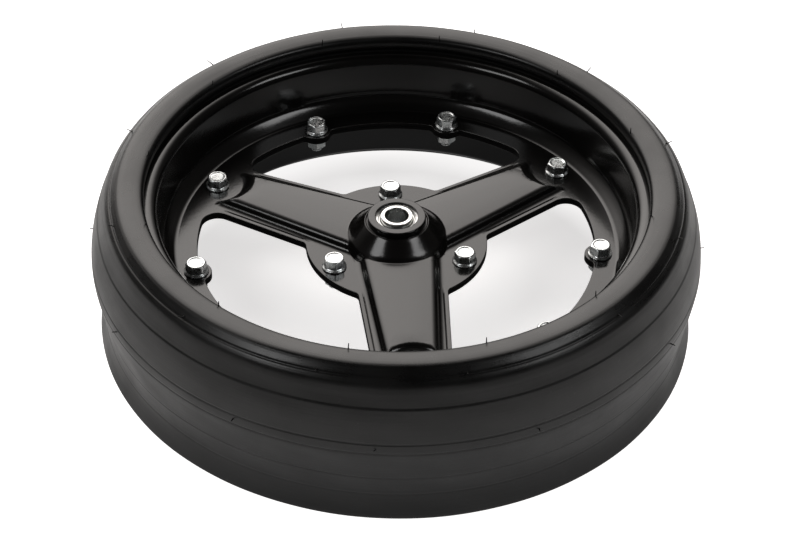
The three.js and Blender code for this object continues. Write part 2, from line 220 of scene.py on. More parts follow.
def shade_by_area(mesh):
    """Smooth shading whose corner normals are ruled by the larger faces, so that flat faces look flat."""
    mesh.polygons.foreach_set("use_smooth", np.ones(len(mesh.polygons), bool))
    count = len(mesh.polygons)
    normal = np.zeros(count * 3)
    area = np.zeros(count)
    corners = np.zeros(count, int)
    mesh.polygons.foreach_get("normal", normal)
    mesh.polygons.foreach_get("area", area)
    mesh.polygons.foreach_get("loop_total", corners)
    owner = np.zeros(len(mesh.loops), int)
    mesh.loops.foreach_get("vertex_index", owner)
    weighted = np.repeat(normal.reshape(-1, 3) * area[:, None], corners, axis=0)
    total = np.zeros((len(mesh.vertices), 3))
    np.add.at(total, owner, weighted)
    total /= np.maximum(np.linalg.norm(total, axis=1, keepdims=True), 1e-20)
    mesh.normals_split_custom_set_from_vertices(total.tolist())


def piece(name, shape, body, material, nodes=(), weld=0.0):
    """A mesh object in the part's frame that rides on a body and stands for the named CAD nodes."""
    points, faces = shape
    mesh = bpy.data.meshes.new(name)
    mesh.from_pydata(((points + [0, 0, MATING_PLANE]) * MM).tolist(), [], faces)
    bm = bmesh.new()
    bm.from_mesh(mesh)
    if weld:
        bmesh.ops.remove_doubles(bm, verts=bm.verts, dist=weld * MM)
    bmesh.ops.recalc_face_normals(bm, faces=bm.faces)
    bm.to_mesh(mesh)
    bm.free()
    shade_by_area(mesh)
    mesh.materials.append(material)
    thing = bpy.data.objects.new(name, mesh)
    bpy.context.scene.collection.objects.link(thing)
    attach(thing, body)
    if nodes:
        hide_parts(*nodes)
    return thing


# ---- materials ----

class Nodes:
    """A short way to write a material's node tree."""

    def __init__(self, name):
        self.material = bpy.data.materials.new(name)
        self.material.use_nodes = True
        self.tree = self.material.node_tree
        self.shader = self.tree.nodes["Principled BSDF"]
        self.place = self.add("ShaderNodeTexCoord").outputs["Object"]

    def add(self, kind, **settings):
        node = self.tree.nodes.new(kind)
        for key, value in settings.items():
            setattr(node, key, value)
        return node

    def link(self, out, into):
        self.tree.links.new(out, into)

    def noise(self, scale, detail=3, roughness=0.5, vector=None):
        node = self.add("ShaderNodeTexNoise")
        node.inputs["Scale"].default_value = scale
        node.inputs["Detail"].default_value = detail
        node.inputs["Roughness"].default_value = roughness
        self.link(vector or self.place, node.inputs["Vector"])
        return node.outputs["Fac"]

    def math(self, operation, a, b=0.0):
        node = self.add("ShaderNodeMath", operation=operation)
        for socket, value in zip(node.inputs, (a, b)):
            if isinstance(value, (int, float)):
                socket.default_value = value
            else:
                self.link(value, socket)
        return node.outputs[0]

    def spread(self, value, low, high, from_low=0.0, from_high=1.0):
        node = self.add("ShaderNodeMapRange")
        limits = {"From Min": from_low, "From Max": from_high, "To Min": low, "To Max": high}
        for key, limit in limits.items():
            node.inputs[key].default_value = limit
        self.link(value, node.inputs["Value"])
        return node.outputs["Result"]

    def colours(self, value, *stops):
        ramp = self.add("ShaderNodeValToRGB")
        self.link(value, ramp.inputs["Fac"])
        elements = ramp.color_ramp.elements
        while len(elements) < len(stops):
            elements.new(0.5)
        for element, (position, colour) in zip(elements, stops):
            element.position = position
            element.color = (*colour, 1)
        return ramp.outputs["Color"]

    def bump(self, height, distance, strength=1.0, before=None):
        node = self.add("ShaderNodeBump")
        node.inputs["Strength"].default_value = strength
        node.inputs["Distance"].default_value = distance
        self.link(height, node.inputs["Height"])
        if before:
            self.link(before, node.inputs["Normal"])
        return node.outputs["Normal"]

    def height(self):
        parts = self.add("ShaderNodeSeparateXYZ")
        self.link(self.place, parts.inputs[0])
        return parts.outputs["Z"]

    def round_place(self, across, along):
        """Radius and height, times across, and turn, times along: for marks that run round the axis."""
        parts = self.add("ShaderNodeSeparateXYZ")
        self.link(self.place, parts.inputs[0])
        x, y, z = parts.outputs
        squares = self.math("ADD", self.math("MULTIPLY", x, x), self.math("MULTIPLY", y, y))
        radius = self.math("SQRT", squares)
        turn = self.math("ARCTAN2", y, x)
        round_axis = self.add("ShaderNodeCombineXYZ")
        self.link(self.math("MULTIPLY", radius, across), round_axis.inputs[0])
        self.link(self.math("MULTIPLY", z, across), round_axis.inputs[1])
        self.link(self.math("MULTIPLY", turn, along), round_axis.inputs[2])
        return round_axis.outputs[0]

    def set(self, **inputs):
        names = {"color": "Base Color", "rough": "Roughness", "metal": "Metallic", "normal": "Normal",
                 "specular": "Specular IOR Level"}
        for key, value in inputs.items():
            socket = self.shader.inputs[names[key]]
            if isinstance(value, (int, float)):
                socket.default_value = value
            elif isinstance(value, tuple):
                socket.default_value = (*value, 1)
            else:
                self.link(value, socket)
        return self.material


POLISH_LOW = 44  # the tyre gets smoother between these two heights (mm)
POLISH_HIGH = 49
PAINT_EDGE = 0.3  # the sheared edges start this far (mm) below the flat face


def rubber():
    """Black rubber with faint moulding streaks and dust, smoother on the crest."""
    n = Nodes("moulded_rubber")
    streaks = n.noise(1.0, detail=4, vector=n.round_place(700, 1.6))
    patches = n.noise(22, detail=4, roughness=0.6)
    grain = n.noise(1500, detail=2)
    specks = n.spread(n.noise(420, detail=3, roughness=0.7), 0, 1, 0.66, 0.74)
    mixed = n.math("ADD", n.math("MULTIPLY", patches, 0.6), n.math("MULTIPLY", streaks, 0.4))
    base = n.colours(mixed, (0.3, (0.003, 0.003, 0.003)), (0.7, (0.0055, 0.0055, 0.0055)))
    dusty = n.add("ShaderNodeMix", data_type="RGBA")
    n.link(n.math("MULTIPLY", specks, 0.2), dusty.inputs["Factor"])
    n.link(base, dusty.inputs["A"])
    dusty.inputs["B"].default_value = (0.07, 0.068, 0.066, 1)
    polish_from, polish_to = ((MATING_PLANE + height) * MM for height in (POLISH_LOW, POLISH_HIGH))
    polish = n.spread(n.height(), 0, 0.14, polish_from, polish_to)
    rough = n.math("ADD", n.spread(patches, 0.32, 0.46, 0.3, 0.7), n.math("MULTIPLY", streaks, 0.08))
    rough = n.math("SUBTRACT", rough, polish)
    relief = n.bump(streaks, 0.00012, 0.55)
    relief = n.bump(grain, 0.00006, 0.5, before=relief)
    return n.set(color=dusty.outputs["Result"], rough=rough, specular=0.42, normal=relief)


def black_paint():
    """Glossy paint with a little orange peel, dull on the sheared edges of the windows."""
    n = Nodes("black_gloss_paint")
    peel = n.noise(330, detail=1)
    haze = n.noise(14, detail=4, roughness=0.6)
    fine = n.noise(2600, detail=1)
    base = n.colours(haze, (0.3, (0.0035, 0.0032, 0.003)), (0.75, (0.0065, 0.0061, 0.0058)))
    relief = n.bump(peel, 0.00009, 0.25)
    relief = n.bump(fine, 0.00001, 0.3, before=relief)
    from_middle = n.math("ABSOLUTE", n.math("SUBTRACT", n.height(), MATING_PLANE * MM))
    sheared = n.math("LESS_THAN", from_middle, (PLATE_TOP - PAINT_EDGE) * MM)
    gloss = n.spread(haze, 0.12, 0.18, 0.3, 0.7)
    return n.set(color=base, rough=n.math("ADD", gloss, n.math("MULTIPLY", sheared, 0.4)),
                 specular=n.spread(sheared, 0.5, 0.06), normal=relief)


def zinc():
    n = Nodes("bright_zinc")
    crystals = n.noise(700, detail=3, roughness=0.65)
    wash = n.noise(130, detail=2)
    base = n.colours(wash, (0.3, (0.66, 0.70, 0.70)), (0.7, (0.82, 0.83, 0.83)))
    relief = n.bump(crystals, 0.00005, 0.4)
    return n.set(color=base, metal=1.0, rough=n.spread(crystals, 0.18, 0.36, 0.3, 0.7), normal=relief)


def turned_steel(name, light, rough_low, rough_high):
    n = Nodes(name)
    rings = n.noise(1.0, detail=3, vector=n.round_place(9000, 0.4))
    wash = n.noise(160, detail=2)
    base = n.colours(wash, (0.3, tuple(0.86 * c for c in light)), (0.7, light))
    relief = n.bump(rings, 0.00002, 0.35)
    return n.set(color=base, metal=1.0, rough=n.spread(rings, rough_low, rough_high, 0.3, 0.7),
                 normal=relief)


def nylon():
    n = Nodes("natural_nylon")
    cloud = n.noise(260, detail=3)
    base = n.colours(cloud, (0.3, (0.46, 0.38, 0.25)), (0.7, (0.62, 0.54, 0.4)))
    return n.set(color=base, rough=n.spread(cloud, 0.4, 0.55), normal=n.bump(cloud, 0.00005, 0.3))


RUBBER = rubber()
PAINT = black_paint()
ZINC = zinc()
BEARING_STEEL = turned_steel("ground_bearing_steel", (0.74, 0.74, 0.73), 0.12, 0.24)
SHIELD_STEEL = turned_steel("pressed_shield_steel", (0.62, 0.62, 0.61), 0.2, 0.36)
NYLON = nylon()


# ---- pressed halves: outline of the sheet ----
# Worked out in a frame whose +X runs along one spoke. Everything mirrors across that spoke, and the half
# sector from the spoke to the middle of the next window is enough: six copies make the whole half.

WINDOW_BOLT_ANGLE = FULL_TURN / RIM_BOLTS
RING_EDGE = 136.5
WEB_EDGE = 62.4
SIDE_DISTANCE = 33.4  # from the wheel centre to the line of the spoke's edge
SIDE_TILT = math.radians(3.4)
RIM_CORNER = 11.0
HUB_CORNER = 5.0
PAD_RADIUS = 10.5
PAD_FILLET = 4.0
EDGE_ROUND = 0.5

SIDE_NORMAL = np.array([math.sin(SIDE_TILT), math.cos(SIDE_TILT)])
SIDE_ALONG = np.array([math.cos(SIDE_TILT), -math.sin(SIDE_TILT)])
WINDOW_BOLT = polar(RIM_BOLT_RADIUS, WINDOW_BOLT_ANGLE)
HUB_BOLT = polar(HUB_BOLT_RADIUS, HALF_STEP)


def angle_of(vector):
    return math.atan2(vector[1], vector[0])


def corner_centre(corner, reach):
    offset = SIDE_DISTANCE + corner
    return SIDE_NORMAL * offset + SIDE_ALONG * math.sqrt(reach ** 2 - offset ** 2)


def window_edge(offset):
    """Half of a window's edge, from its middle on the rim side, round the bolt pad and the corners, to its
    middle on the hub side. offset is how far it is moved into the sheet."""
    origin = np.zeros(2)
    ring = RING_EDGE + offset
    reach = RING_EDGE - PAD_FILLET
    between = PAD_RADIUS + PAD_FILLET
    swing = math.acos((RIM_BOLT_RADIUS ** 2 + reach ** 2 - between ** 2) / (2 * RIM_BOLT_RADIUS * reach))
    first = polar(reach, WINDOW_BOLT_ANGLE + swing)
    second = polar(reach, WINDOW_BOLT_ANGLE - swing)
    rim = corner_centre(RIM_CORNER, RING_EDGE - RIM_CORNER)
    hub = corner_centre(HUB_CORNER, WEB_EDGE + HUB_CORNER)
    side = angle_of(-SIDE_NORMAL)
    first_swing = angle_of(first - WINDOW_BOLT) % FULL_TURN
    second_swing = angle_of(second - WINDOW_BOLT) % FULL_TURN
    hub_start = angle_of(hub)
    pieces = [
        arc(origin, ring, HALF_STEP, WINDOW_BOLT_ANGLE + swing, 14),
        arc(first, PAD_FILLET + offset, WINDOW_BOLT_ANGLE + swing, angle_of(WINDOW_BOLT - first), 8),
        arc(WINDOW_BOLT, PAD_RADIUS - offset, first_swing, second_swing, 16),
        arc(second, PAD_FILLET + offset, angle_of(WINDOW_BOLT - second), WINDOW_BOLT_ANGLE - swing, 8),
        arc(origin, ring, WINDOW_BOLT_ANGLE - swing, angle_of(rim), 14),
        arc(rim, RIM_CORNER + offset, angle_of(rim), side, 18),
    ]
    line_start = rim - SIDE_NORMAL * (RIM_CORNER + offset)
    line_end = hub - SIDE_NORMAL * (HUB_CORNER + offset)
    pieces.append(np.linspace(line_start, line_end, 32))
    pieces.append(arc(hub, HUB_CORNER + offset, side, hub_start - math.pi, 10))
    pieces.append(arc(origin, WEB_EDGE - offset, hub_start, HALF_STEP, 16))
    return np.vstack([pieces[0]] + [p[1:] for p in pieces[1:]])


def domain_loops():
    """The flat outline of the half sector, less its rounded window edge, and the whole bolt hole in it."""
    window = window_edge(EDGE_ROUND)
    along_spoke = np.arange(DISH_START, RIM_BOLT_RADIUS - HOLE_RADIUS, 1.0)
    spoke_line = np.stack([along_spoke, np.zeros(len(along_spoke))], axis=1)
    spoke_hole = arc((RIM_BOLT_RADIUS, 0), HOLE_RADIUS, math.pi, 0, HOLE_SEGMENTS // 2)
    spoke_end = np.array([[RIM_START - 1.5, 0.0]])
    outer = arc((0, 0), RIM_START, 0, HALF_STEP, SEGMENTS // (2 * SPOKES))
    out_line = np.array([polar(r, HALF_STEP) for r in (RIM_START - 4, RIM_START - 8)])
    hub_line_out = np.array([polar(r, HALF_STEP)
                             for r in np.arange(WEB_EDGE - 2, HUB_BOLT_RADIUS + HOLE_RADIUS, -2.0)])
    hub_hole = arc(HUB_BOLT, HOLE_RADIUS, HALF_STEP, HALF_STEP - math.pi, HOLE_SEGMENTS // 2)
    hub_line_in = np.array([polar(r, HALF_STEP)
                            for r in np.arange(HUB_BOLT_RADIUS - HOLE_RADIUS - 1, DISH_START, -1.0)])
    inner = arc((0, 0), DISH_START, HALF_STEP, 0, HUB_SEGMENTS // (2 * SPOKES))[:-1]
    outline = np.vstack([spoke_line, spoke_hole, spoke_end, outer, out_line, window, hub_line_out, hub_hole,
                         hub_line_in, inner])
    hole = arc(WINDOW_BOLT, HOLE_RADIUS, 0, FULL_TURN, HOLE_SEGMENTS)[:-1]
    return outline, hole


def inside(points, loop):
    """Which points lie inside a closed loop."""
    x, y = points[:, :1], points[:, 1:]
    ax, ay = loop[:, 0], loop[:, 1]
    bx, by = np.roll(ax, -1), np.roll(ay, -1)
    crosses = (ay > y) != (by > y)
    level = np.where(by == ay, 1e-12, by - ay)
    at = ax + (y - ay) * (bx - ax) / level
    return (crosses & (x < at)).sum(axis=1) % 2 == 1


def distance_to(points, loop):
    """Distance from each point to a closed loop."""
    a = loop
    b = np.roll(loop, -1, axis=0)
    span = b - a
    t = np.einsum("pij,ij->pi", points[:, None] - a, span) / np.maximum((span ** 2).sum(1), 1e-12)
    nearest = a + np.clip(t, 0, 1)[..., None] * span
    return np.linalg.norm(points[:, None] - nearest, axis=2).min(axis=1)


# ---- pressed halves: height of the sheet ----

FOOT_AT_CENTRE = 31.8  # half width of the hollow spoke's foot, carried back to the centre
FOOT_TAPER = 0.0806
FOOT_END = 131.5
POCKET_FOOT = 17.6  # round the bolt that stands at the spoke's end
FOOT_RADIUS = 5.0  # of the hollow bend where a slope meets the flat web
SHOULDER_RADIUS = 5.4  # of the round bend where it meets the panel
STEEPEST = math.radians(65)
PANEL_RISE = (FOOT_RADIUS + SHOULDER_RADIUS) * (1 - math.cos(STEEPEST))
SLOPE_RUN = (FOOT_RADIUS + SHOULDER_RADIUS) * math.sin(STEEPEST)
CROWN = 0.8  # how much the panel is arched across the spoke
HUB_FOOT = 35.5
HUB_SHOULDER = 33.2
CONE_TOP_RADIUS = 22.3
CONE_TOP = 16.85  # above the flat web
RIB_FROM_EDGE = 3.1  # a shallow pressed line along each edge of the spoke
RIB_HALF_WIDTH = 0.8
RIB_DEPTH = 0.4

# Shares of a slope's run, and radii round the hub's foot, where the mesh gets a row of points.
SLOPE_ROWS = (-0.04, 0.0, 0.08, 0.16, 0.24, 0.32, 0.39, 0.44, 0.48, 0.52, 0.57, 0.63, 0.7, 0.79, 0.9, 1.0)
HUB_ROWS = (37, 36.6, 36.2, 35.85, 35.5, 35.15, 34.8, 34.4, 34, 33.6, 33.2, 32.8, 32.4, 31.8, 30.5, 28.5,
            26.5, 24.6)


def slope_height(inside_by):
    """Height above the web at a distance in from the foot: a hollow bend, then a round shoulder."""
    middle = FOOT_RADIUS * math.sin(STEEPEST)
    low = np.clip(inside_by, 0, middle)
    high = np.clip(SLOPE_RUN - inside_by, 0, SLOPE_RUN - middle)
    foot = FOOT_RADIUS - np.sqrt(FOOT_RADIUS ** 2 - low ** 2)
    shoulder = PANEL_RISE - SHOULDER_RADIUS + np.sqrt(SHOULDER_RADIUS ** 2 - high ** 2)
    return np.where(inside_by < middle, foot, shoulder)


def foot_half_width(x):
    return FOOT_AT_CENTRE - FOOT_TAPER * x


def panel_height(x, y):
    side = foot_half_width(x) - np.abs(y)
    pocket = np.hypot(x - RIM_BOLT_RADIUS, y) - POCKET_FOOT
    inside_by = smooth_min(smooth_min(side, FOOT_END - x, 2.0), pocket, 2.0)
    crown = CROWN * np.clip(1 - (y / 24) ** 2, 0, 1) * smoothstep(inside_by, 3, SLOPE_RUN + 8)
    return slope_height(inside_by) + crown


def hub_height(radius):
    foot = (HUB_FOOT - radius) * PANEL_RISE / (HUB_FOOT - HUB_SHOULDER)
    share = (HUB_SHOULDER - radius) / (HUB_SHOULDER - CONE_TOP_RADIUS)
    cone = PANEL_RISE + (CONE_TOP - PANEL_RISE) * share
    return smooth_max(smooth_min(foot, cone, 1.4), np.zeros_like(radius), 1.2) * (radius < 37)


def rib_height(x, y):
    from_edge = SIDE_DISTANCE - (SIDE_NORMAL[0] * x + SIDE_NORMAL[1] * np.abs(y))
    across = np.clip(1 - ((from_edge - RIB_FROM_EDGE) / RIB_HALF_WIDTH) ** 2, 0, 1) ** 2
    return -RIB_DEPTH * across * smoothstep(x, 52, 60) * (1 - smoothstep(x, 116, 124))


def sheet_height(x, y):
    """Height of the pressed sheet's top face above the flat web."""
    radius = np.hypot(x, y)
    panel = panel_height(x, y)
    hub = hub_height(radius)
    blend = 3.0 * np.clip(np.minimum(panel, hub) / 2.5, 0, 1) + 1e-6
    return smooth_max(panel, hub, blend) + rib_height(x, y)


def sheet_bottom(x, y):
    """Height of the underside: the sheet's thickness measured square to its slope, down to the web."""
    step = 0.05
    top = sheet_height(x, y)
    slope = np.hypot(sheet_height(x + step, y) - top, sheet_height(x, y + step) - top) / step
    thickness = SHEET * np.clip(np.sqrt(1 + slope ** 2), 1, 1.9)
    return np.maximum(top - thickness, -SHEET)


def feature_rows():
    """Rows of points along the bends, so that the mesh follows them."""
    rows = []
    x = np.linspace(20, 131, 46)
    for inside_by in np.array(SLOPE_ROWS) * SLOPE_RUN:
        rows.append(np.stack([x, foot_half_width(x) - inside_by], axis=1))
        rows.append(arc((RIM_BOLT_RADIUS, 0), POCKET_FOOT + inside_by, math.pi - 0.05, 1.75, 26))
        rows.append(np.stack([np.full(14, FOOT_END - inside_by), np.linspace(9, 24, 14)], axis=1))
    for radius in HUB_ROWS:
        rows.append(arc((0, 0), radius, 0.02, HALF_STEP - 0.02, 26))
    for share in np.linspace(-1, 1, 7):
        from_edge = RIB_FROM_EDGE + share * RIB_HALF_WIDTH
        along = np.linspace(48, 126, 40)[:, None]
        rows.append(SIDE_NORMAL * (SIDE_DISTANCE - from_edge) + SIDE_ALONG * along)
    return rows


def fill_points(spacing):
    x, y = np.meshgrid(np.arange(DISH_START, RIM_START, spacing), np.arange(0, 130, spacing * 0.87))
    x = x + (np.arange(x.shape[0])[:, None] % 2) * spacing / 2
    return np.stack([x.ravel(), y.ravel()], axis=1)


def sector_triangles():
    """The half sector's flat triangulation."""
    outline, hole = domain_loops()

    def allowed(points, margin):
        ok = inside(points, outline) & ~inside(points, hole)
        near = np.minimum(distance_to(points, outline), distance_to(points, hole))
        return ok & (near > margin)

    points, edges = [], []

    def add(new, is_row, closed=False):
        start = len(points)
        points.extend(Vector(p) for p in new)
        if is_row:
            edges.extend((start + i, start + i + 1) for i in range(len(new) - 1))
            if closed:
                edges.append((start + len(new) - 1, start))

    add(outline, True, closed=True)
    add(hole, True, closed=True)
    taken = []
    for row in feature_rows():
        keep = allowed(row, 0.25)
        taken.append(row[keep])
        run = []
        for point, ok in zip(row, keep):
            if ok:
                run.append(point)
            elif run:
                add(run, True)
                run = []
        if run:
            add(run, True)
    taken = np.vstack(taken)
    fill = fill_points(5.0)
    fill = fill[allowed(fill, 1.2)]
    clear = np.array([np.min(((taken - p) ** 2).sum(1)) > 1.6 ** 2 for p in fill])
    add(fill[clear], False)
    result = delaunay_2d_cdt(points, edges, [], 0, 1e-5, False)
    flat = np.array([(v.x, v.y) for v in result[0]])
    faces = np.array([list(f) for f in result[2]])
    middle = flat[faces].mean(axis=1)
    keep = inside(middle, outline) & ~inside(middle, hole)
    return flat, faces[keep]


def lifted(flat, height):
    return np.column_stack([flat, height])


def edge_strip(rows):
    """Quads between rows of points that match one to one."""
    count = len(rows[0])
    return np.vstack(rows), grid_faces(len(rows), count, close_columns=False)


def hole_wall(centre, start, end, steps):
    ring = arc(centre, HOLE_RADIUS, start, end, steps)
    return edge_strip([lifted(ring, np.full(len(ring), z)) for z in (PLATE_TOP, PLATE_LOW)])


def half_sector():
    flat, faces = sector_triangles()
    x, y = flat[:, 0], flat[:, 1]
    top = lifted(flat, PLATE_TOP + sheet_height(x, y))
    bottom = lifted(flat, PLATE_TOP + sheet_bottom(x, y))
    chunks = [(top, faces.tolist()), (bottom, faces[:, ::-1].tolist())]
    bends = np.radians([0, 22.5, 45, 67.5, 90])
    down = [(EDGE_ROUND * (1 - math.sin(b)), PLATE_TOP - EDGE_ROUND * (1 - math.cos(b))) for b in bends]
    up = [(offset, PLATE_TOP + PLATE_LOW - z) for offset, z in reversed(down)]
    rows = []
    for offset, z in down + up:
        edge = window_edge(offset)
        rows.append(lifted(edge, np.full(len(edge), z)))
    chunks.append(edge_strip(rows))
    chunks.append(hole_wall((RIM_BOLT_RADIUS, 0), math.pi, 0, HOLE_SEGMENTS // 2))
    chunks.append(hole_wall(HUB_BOLT, HALF_STEP, HALF_STEP - math.pi, HOLE_SEGMENTS // 2))
    chunks.append(hole_wall(WINDOW_BOLT, 0, FULL_TURN, HOLE_SEGMENTS))
    return joined(chunks)


# ---- pressed halves: turned rim and collar ----

RIM_FILLET = 4.6
FILLET_END = math.radians(36)
LIP_TOP = 43.2
LIP_EDGE = 171.3
LIP_BEND = 7.0
BEND_CENTRE = (168.9, LIP_TOP - LIP_BEND)
COLLAR_TOP = 24.0
COLLAR_RADIUS = 20.0
COLLAR_OPENING = 14.35


def rim_outline():
    """From the flat flange's top face, up the sloping foot and the wall, over the lip and back down."""
    sweeps = np.linspace(0, FILLET_END, 8)
    centre = np.array([RIM_START, PLATE_TOP + RIM_FILLET])
    inner = [centre + RIM_FILLET * np.array([math.sin(a), -math.cos(a)]) for a in sweeps]
    outer = [centre + (RIM_FILLET + SHEET) * np.array([math.sin(a), -math.cos(a)]) for a in sweeps]
    slope = flowing([inner[-1], (156.4, 6.6), (158.8, 8.9), (159.9, 10.4), (160.5, 12.2), (160.8, 14.6)])
    bend = arc(BEND_CENTRE, LIP_BEND, math.radians(177), math.radians(90), 24)
    wall = np.linspace(slope[-1], bend[0], 12)[1:-1]
    edge = [(LIP_EDGE - 0.9, LIP_TOP - 0.02), (LIP_EDGE - 0.35, LIP_TOP - 0.3), (LIP_EDGE, LIP_TOP - 1.0),
            (LIP_EDGE - 0.1, LIP_TOP - 1.9), (LIP_EDGE - 0.8, LIP_TOP - 2.4)]
    back_bend = arc(BEND_CENTRE, LIP_BEND - SHEET, math.radians(90), math.radians(176), 16)
    behind = flowing([(163.2, 13.6), (162.9, 10.6), (161.6, 8.6), (158.2, 5.2), outer[-1]], 5)
    return np.vstack([inner[:-1], slope, wall, bend, flowing(edge, 3), back_bend, behind[:-1], outer[::-1]])


def collar_outline():
    """From the pressed sheet's top face, over the bearing collar and back under the sheet."""
    join = np.array([DISH_START])
    top = PLATE_TOP + float(sheet_height(join, np.zeros(1))[0])
    low = PLATE_TOP + float(sheet_bottom(join, np.zeros(1))[0])
    corners = np.array([
        [DISH_START, low], [DISH_START, top], [21.6, top + 0.85], [20.9, 19.0], [COLLAR_RADIUS, 19.0],
        [COLLAR_RADIUS, COLLAR_TOP], [COLLAR_OPENING, COLLAR_TOP], [COLLAR_OPENING, 22.0], [17.75, 22.0],
        [17.75, low],
    ])
    return rounded(corners, [0.01, 0.01, 0.9, 0.5, 0.35, 1.3, 0.9, 0.3, 0.2, 0.3], 5)


def pressed_half():
    points, faces = half_sector()
    chunks = []
    for i in range(SPOKES):
        for side in (1, -1):
            copy = points * np.array([1, side, 1])
            chunks.append((turned_round(copy, FIRST_SPOKE + i * SPOKE_STEP), faces))
    chunks.append(revolved(rim_outline(), closed=False))
    chunks.append(revolved_between(collar_outline()))
    return joined(chunks)


def revolved_between(outline):
    """The collar's outline without the side where the pressed sheet joins it."""
    at_join = np.abs(outline[:, 0] - DISH_START) < 0.02
    top = np.flatnonzero(at_join & (outline[:, 1] > outline[at_join, 1].mean()))
    low = np.flatnonzero(at_join & (outline[:, 1] < outline[at_join, 1].mean()))
    ordered = np.vstack([outline[top[-1]:], outline[:low[0] + 1]])
    ordered[0] = [DISH_START, outline[top, 1].mean()]
    ordered[-1] = [DISH_START, outline[low, 1].mean()]
    return revolved(ordered, HUB_SEGMENTS, closed=False)


half_points, half_faces = pressed_half()
for name, points in (("upper", half_points), ("lower", turned_over(half_points))):
    piece(f"pressed_half_{name}", (points, half_faces), "wheel", PAINT,
          [f"wheel_half_{name}"], weld=0.01)


# ---- tyre ----

# Points (radius, height) of the tyre's section: over the crest, down the side and round the foot.
TYRE_CREST = ((171.9, 43.7), (171.0, 45.4), (170.5, 47.4), (170.3, 49.2), (170.4, 50.9), (170.9, 52.3),
              (172.0, 53.5), (174.0, 54.3), (176.6, 54.8), (179.8, 55.2), (183.3, 55.4), (186.0, 55.2),
              (188.3, 54.4), (190.5, 52.6))
TYRE_SIDE = ((192.6, 50.8), (194.7, 49.0), (196.7, 46.9), (198.5, 43.4), (200.1, 39.4), (201.6, 35.4),
             (203.0, 31.5), (204.3, 27.5), (205.4, 23.6), (206.3, 19.7), (207.0, 15.8), (207.6, 11.8),
             (208.1, 7.8), (208.4, 2.7), (207.9, -2.5), (207.0, -7.5), (206.1, -12.5), (205.1, -18.0),
             (204.1, -24.0), (203.0, -30.0), (202.3, -35.5), (202.2, -40.0), (202.7, -44.5), (203.8, -49.5),
             (205.2, -54.5), (205.9, -57.2))
TYRE_FOOT = ((205.6, -58.5), (204.3, -59.0), (200.0, -59.0), (194.0, -59.0), (189.0, -58.6), (184.5, -57.0),
             (180.0, -54.6), (176.6, -51.9), (173.8, -49.3), (172.3, -46.8), (171.9, -44.4))
TYRE_HOLLOW = ((168.2, 3.0), (169.4, 12.0), (171.0, 33.0), (177.5, 42.5), (183.0, 44.0), (187.0, 41.5),
               (194.5, 26.0), (197.5, 6.0), (197.0, -6.0), (195.5, -30.0), (190.0, -44.0), (184.0, -45.0),
               (177.5, -42.5), (171.0, -33.0), (169.4, -12.0), (168.2, -3.0))
TYRE_MIDDLE = (188.0, 0.0)  # a point inside the section, to tell its outside from its inside
OUTSIDE_SPACING = 0.62
INSIDE_SPACING = 2.6
BEAD_GAP = 0.4

# Moulded lines: height, depth and half width (mm).
SIDE_LINES = ((8.2, 0.55, 0.95), (0.2, 0.6, 1.0), (-24.6, 0.35, 0.8), (-40.5, 0.28, 0.8))
SHOULDER_LINE = (50.3, 0.4, 0.8)
CREST_LINE_RADIUS = 188.6
BAND_DEPTH = 0.4  # of the sunk band between the crown and the shoulder

NIB_RADIUS = 0.42
NIB_LENGTH = 5.2
NIBS_PER_RING = 12
# Radius, height, outward lean, first turn (degrees) and size of each ring of nibs.
NIB_RINGS = ((171.8, 52.7, -0.05, 14.8, 1.0), (192.2, 51.0, 0.8, 10.0, 1.0), (208.1, 4.4, 1.0, 24.0, 0.6))
# A nib's width, as a share of its radius, from foot (0) to tip (1).
NIB_TAPER = ((0, 1.7), (0.08, 1.05), (0.3, 0.9), (0.7, 0.8), (0.93, 0.62), (1.0, 0.25))


def tyre_outside():
    return resampled(flowing(TYRE_CREST + TYRE_SIDE + TYRE_FOOT, 8), OUTSIDE_SPACING)


def tyre_inside():
    """The bead faces against the rim and the hollow of the tyre."""
    bend = LIP_BEND - SHEET - BEAD_GAP
    upper = [(163.5, 3.0), (163.5, 12.0)]
    upper += [tuple(p) for p in arc(BEND_CENTRE, bend, math.radians(176), math.radians(90), 6)]
    upper += [(LIP_EDGE - 0.6, LIP_TOP - 2.9), (LIP_EDGE + 0.5, LIP_TOP - 2.4),
              (LIP_EDGE + 0.6, LIP_TOP - 0.5)]
    lower = [(r, -z) for r, z in reversed(upper)]
    wall = lower + list(TYRE_HOLLOW[::-1]) + upper
    return resampled(np.array(wall), INSIDE_SPACING)


def groove(height, middle, half_width):
    return np.clip(1 - np.abs((height - middle) / half_width), 0, 1) ** 0.8 * smoothstep(
        half_width - np.abs(height - middle), 0, half_width * 0.7)


def tyre_relief(r, z, turn):
    """How far the outside stands out (+) or is cut in (-) at a height and a turn, in mm."""
    drift = 0.35 * np.sin(2 * turn + 0.4) + 0.25 * np.sin(5 * turn + 2.0) + 0.12 * np.sin(11 * turn + 1.0)
    level = z + drift
    relief = -sum(depth * groove(level, height, half_width) for height, depth, half_width in SIDE_LINES)
    height, depth, half_width = SHOULDER_LINE
    relief = relief - depth * groove(z + 0.4 * drift, height, half_width) * (z > 45)
    relief = relief - BAND_DEPTH * smoothstep(level, 32.2, 33.4) * (z > 20)
    relief = relief + BAND_DEPTH * smoothstep(z, 36, 50)
    relief = relief * smoothstep(r, 190, 193)
    on_crest = (z > 50) & (r < 192)
    relief = relief - 0.1 * groove(r + 0.3 * drift, CREST_LINE_RADIUS, 0.8) * on_crest
    wave = 0.10 * np.sin(3 * turn + 0.12 * z) + 0.07 * np.sin(7 * turn - 0.2 * z + 1.3)
    wave = wave + 0.04 * np.sin(19 * turn + 0.35 * z + 0.5)
    return relief + wave * smoothstep(r, 176, 184)


